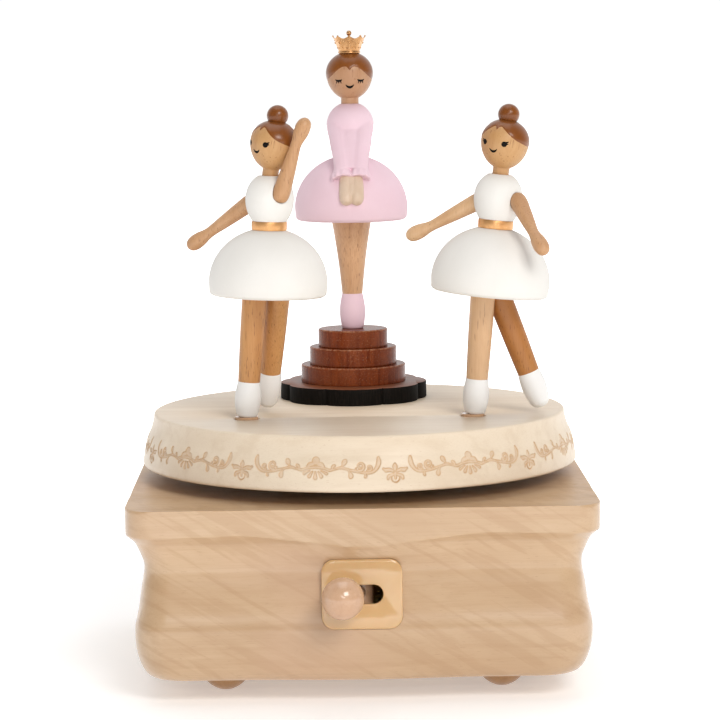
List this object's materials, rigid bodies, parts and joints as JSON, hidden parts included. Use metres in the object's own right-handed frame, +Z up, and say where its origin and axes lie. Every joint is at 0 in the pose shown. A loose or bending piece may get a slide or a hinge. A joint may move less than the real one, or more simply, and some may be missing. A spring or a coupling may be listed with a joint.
{
  "type": "ballerina music box",
  "caption": "Wooden music box with an engraved turntable on which a crowned princess stands on a stepped pedestal while dancers spin, played by a wind-up comb movement",
  "frame": {"origin": "middle of the footprint's bounding box on the floor the ball feet stand on", "axes": "+Z up, -Y to the front where the switch is, +X to the right as seen from the front"},
  "size_m": [0.122, 0.136, 0.1731],
  "materials": {
    "beech_box": "satin lacquered beech",
    "maple_table": "satin lacquered maple, scrollwork burnt into the rim",
    "oak_figure": "turned beech with dark grain, satin",
    "walnut_step": "dark red-brown stain under gloss lacquer",
    "charred_base": "laser-cut plywood, burnt black edge",
    "chalk_paint": "turned wood, warm white satin paint",
    "pink_paint": "turned wood, pink satin paint",
    "gold_paint": "turned wood, metallic gold paint",
    "hair_paint": "turned wood, brown satin paint",
    "cream_plastic": "glossy",
    "nylon": "moulded, matte",
    "brass": "machined",
    "steel": "bright"
  },
  "bodies": {
    "case": {"box_body": "beech_box", "base_board": "beech_box", "ball_feet": "beech_box", "base_screws": "steel", "switch_plate": "cream_plastic", "shaft_bush": "brass", "sun_gear": "nylon", "sun_gear_screws": "steel", "bedplate": "steel", "bedplate_screws": "steel", "comb": "steel", "comb_screws": "steel", "cylinder_bracket": "brass", "governor_frame": "brass", "ratchet_click": "steel"},
    "stage": {"turntable": "maple_table", "turntable_underplate": "nylon", "turntable_hub": "nylon", "turntable_screws": "steel", "drive_shaft": "steel", "spring_barrel": "brass", "mainspring": "steel", "pedestal_base": "charred_base", "pedestal_tiers": "walnut_step", "princess_leg": "oak_figure", "princess_shoe": "pink_paint", "princess_skirt": "pink_paint", "princess_bodice": "pink_paint", "princess_hands": "oak_figure", "princess_head": "oak_figure", "princess_crown": "gold_paint"},
    "left_dancer": {"left_spindle": "maple_table", "left_planet_gear": "nylon", "left_legs": "oak_figure", "left_shoes": "chalk_paint", "left_skirt": "chalk_paint", "left_belt": "gold_paint", "left_torso": "chalk_paint", "left_arms": "oak_figure", "left_head": "oak_figure", "left_bun": "hair_paint"},
    "right_dancer": {"right_spindle": "maple_table", "right_planet_gear": "nylon", "right_legs": "oak_figure", "right_shoes": "chalk_paint", "right_skirt": "chalk_paint", "right_belt": "gold_paint", "right_torso": "chalk_paint", "right_arms": "oak_figure", "right_head": "oak_figure", "right_bun": "hair_paint"},
    "key": {"winding_key": "brass", "winding_arbor": "steel"},
    "drum": {"music_cylinder": "brass", "cylinder_arbor": "brass"},
    "second_arbor": {"worm_wheel": "brass"},
    "governor": {"airbrake": "steel"},
    "switch": {"switch_lever": "beech_box", "switch_knob": "beech_box", "brake_wire": "steel"}
  },
  "joints": [
    {"name": "turntable_spin", "type": "hinge", "parent": "case", "child": "stage", "pos_m": [0, 0.00703, 0.0515], "axis": [0, 0, 1], "continuous": true},
    {"name": "left_dancer_spin", "type": "hinge", "parent": "stage", "child": "left_dancer", "pos_m": [-0.03036, -0.01231, 0.0695], "axis": [0, 0, 1], "continuous": true},
    {"name": "right_dancer_spin", "type": "hinge", "parent": "stage", "child": "right_dancer", "pos_m": [0.03036, -0.01231, 0.0695], "axis": [0, 0, 1], "continuous": true},
    {"name": "winding_key_turn", "type": "hinge", "parent": "case", "child": "key", "pos_m": [0, 0.00703, 0.006], "axis": [0, 0, 1], "continuous": true},
    {"name": "drum_spin", "type": "hinge", "parent": "case", "child": "drum", "pos_m": [0, -0.01557, 0.0242], "axis": [0, -1, 0], "continuous": true},
    {"name": "second_arbor_spin", "type": "hinge", "parent": "case", "child": "second_arbor", "pos_m": [0.008, -0.02737, 0.0242], "axis": [0, -1, 0], "continuous": true},
    {"name": "governor_spin", "type": "hinge", "parent": "case", "child": "governor", "pos_m": [0.01376, -0.02972, 0.0242], "axis": [0, 0, 1], "continuous": true},
    {"name": "switch_swing", "type": "hinge", "parent": "case", "child": "switch", "pos_m": [-0.0005, -0.0454, 0.0286], "axis": [0, 0.0872, 0.9962], "range_deg": [0, 32]}
  ],
  "couplings": [
    {"joint": "left_dancer_spin", "follows": "turntable_spin", "ratio": 2},
    {"joint": "right_dancer_spin", "follows": "turntable_spin", "ratio": 2},
    {"joint": "drum_spin", "follows": "turntable_spin", "ratio": 2},
    {"joint": "second_arbor_spin", "follows": "turntable_spin", "ratio": -6},
    {"joint": "governor_spin", "follows": "turntable_spin", "ratio": 120}
  ]
}
